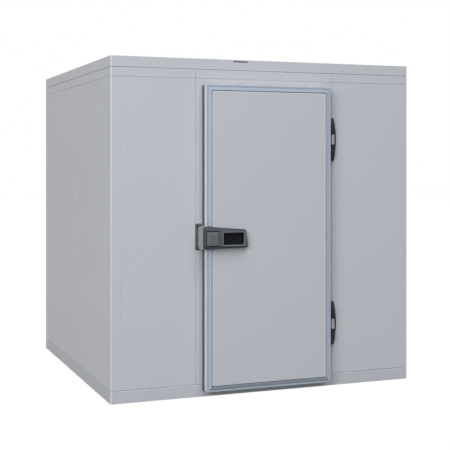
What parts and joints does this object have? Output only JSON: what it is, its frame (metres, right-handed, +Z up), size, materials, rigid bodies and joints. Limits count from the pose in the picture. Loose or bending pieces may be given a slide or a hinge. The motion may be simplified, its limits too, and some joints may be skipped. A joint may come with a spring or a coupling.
{
  "type": "walk-in cold room",
  "caption": "Walk-in cold room: box of insulated steel-faced panels with a surface-mounted hinged door, pull-handle latch, bow-shaped hinges and built floor.",
  "frame": {"origin": "middle of the square footprint, on the floor the room stands on", "axes": "+Z up; the door is in the wall that faces -Y; +X to the right as one faces the door"},
  "size_m": [2.14, 2.278, 2.2],
  "materials": {
    "panel_skin": "pale blue-grey coated steel sheet, satin",
    "leaf_skin": "pale grey coated steel sheet, satin",
    "floor_skin": "pale grey coated sheet, satin",
    "frame_plastic": "pale grey extruded plastic",
    "stainless_sheet": "brushed stainless sheet",
    "edge_aluminium": "satin anodised, bluish",
    "carrier_plastic": "dark grey extruded plastic",
    "gasket_rubber": "black soft seal",
    "hinge_plastic": "black moulded, fine grain",
    "hinge_metal": "satin zinc alloy",
    "dark_plastic": "dark grey moulded",
    "housing_plastic": "mid grey moulded",
    "handle_plastic": "anthracite moulded",
    "lock_plastic": "grey moulded",
    "release_plastic": "green moulded"
  },
  "bodies": {
    "root": {"corner_front_left": "panel_skin", "corner_front_right": "panel_skin", "corner_back_left": "panel_skin", "corner_back_right": "panel_skin", "front_panel_left": "panel_skin", "front_panel_right": "panel_skin", "door_panel_left": "panel_skin", "door_panel_right": "panel_skin", "door_panel_head": "panel_skin", "left_panel_front": "panel_skin", "left_panel_back": "panel_skin", "right_panel_front": "panel_skin", "right_panel_back": "panel_skin", "back_panel_left": "panel_skin", "back_panel_middle": "panel_skin", "back_panel_right": "panel_skin", "ceiling_panel_front": "panel_skin", "ceiling_panel_back": "panel_skin", "floor_panel_left": "floor_skin", "floor_panel_right": "floor_skin", "door_frame_left": "frame_plastic", "door_frame_right": "frame_plastic", "door_frame_head": "frame_plastic", "door_sill": "stainless_sheet", "strike_plate": "dark_plastic", "hinge_upper_base": "hinge_plastic", "hinge_lower_base": "hinge_plastic"},
    "door": {"door_leaf": "leaf_skin", "leaf_edge_left": "edge_aluminium", "leaf_edge_right": "edge_aluminium", "leaf_edge_top": "edge_aluminium", "leaf_edge_bottom": "edge_aluminium", "seal_carrier": "carrier_plastic", "door_gasket": "gasket_rubber", "hinge_upper_knuckle": "hinge_metal", "hinge_lower_knuckle": "hinge_metal", "latch_housing": "housing_plastic", "release_knob": "release_plastic"},
    "handle": {"pull_handle": "handle_plastic", "handle_end_cap": "housing_plastic", "lock_cover": "lock_plastic"}
  },
  "joints": [
    {"name": "door_swing", "type": "hinge", "parent": "root", "child": "door", "pos_m": [0.466, -1.106, 1.054], "axis": [0, 0, 1], "range_deg": [0, 110]},
    {"name": "handle_pull", "type": "hinge", "parent": "door", "child": "handle", "pos_m": [-0.47, -1.18, 1.039], "axis": [0, 0, -1], "range_deg": [0, 25], "stiffness_Nm_per_rad": 1}
  ]
}
